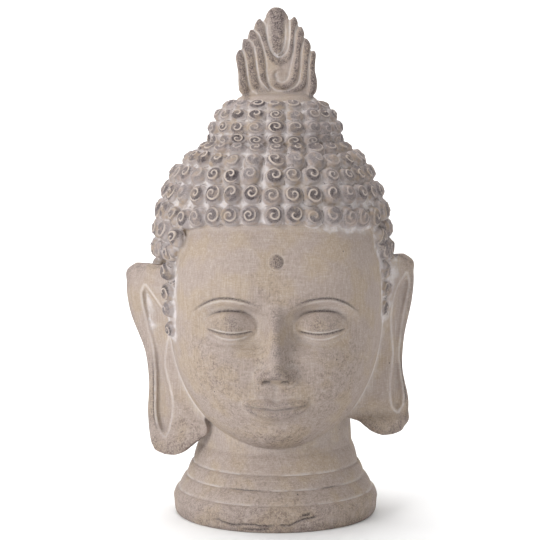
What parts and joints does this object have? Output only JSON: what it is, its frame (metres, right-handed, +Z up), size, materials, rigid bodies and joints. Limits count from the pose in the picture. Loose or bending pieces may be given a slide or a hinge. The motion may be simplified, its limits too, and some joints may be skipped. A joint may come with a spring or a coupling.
{
  "type": "buddha head ornament",
  "caption": "Cast garden ornament: a calm head with snail-curl hair, a topknot crowned by a flame, long hanging ears and a ringed neck, standing on a flat underside.",
  "frame": {"origin": "centre of the flat underside of the neck", "axes": "+Z up towards the tip of the flame, -Y the way the face looks, +X the ornament's own left"},
  "size_m": [0.3441, 0.3061, 0.6],
  "materials": {
    "stone_wash": "matt antique whitewash over warm grey cast stone, dark on the high spots"
  },
  "bodies": {
    "root": {"buddha_head": "stone_wash"}
  },
  "joints": []
}
